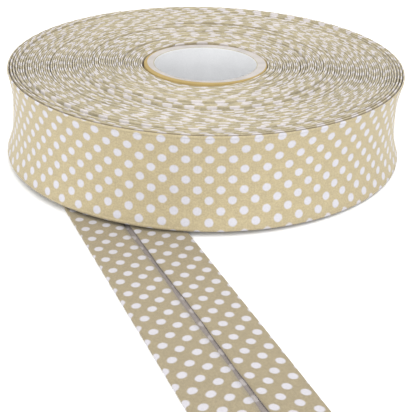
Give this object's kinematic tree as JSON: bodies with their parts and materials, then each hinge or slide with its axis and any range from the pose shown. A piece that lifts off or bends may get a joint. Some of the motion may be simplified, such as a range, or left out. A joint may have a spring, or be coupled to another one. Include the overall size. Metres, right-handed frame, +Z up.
{
  "type": "roll of bias binding",
  "caption": "Folded cotton bias binding with dots, wound flat on a paper tube, its loose end laid out wrong side up. Edges seams, hems and quilts.",
  "frame": {"origin": "middle of the whole part's footprint, on the surface it stands on", "axes": "+Z up along the roll's axis, within about one degree; the loose end runs towards -Y"},
  "size_m": [0.1358, 0.2456, 0.0325],
  "materials": {
    "binding_roll": "matte woven cotton, beige with white dots",
    "binding_tail": "matte woven cotton, beige with white dots, the wrong side showing between its folded edges",
    "tube_paper": "wound paper tube, white inside, kraft brown outside"
  },
  "bodies": {
    "root": {"roll": "binding_roll", "core": "tube_paper", "tail": "binding_tail"}
  },
  "joints": []
}
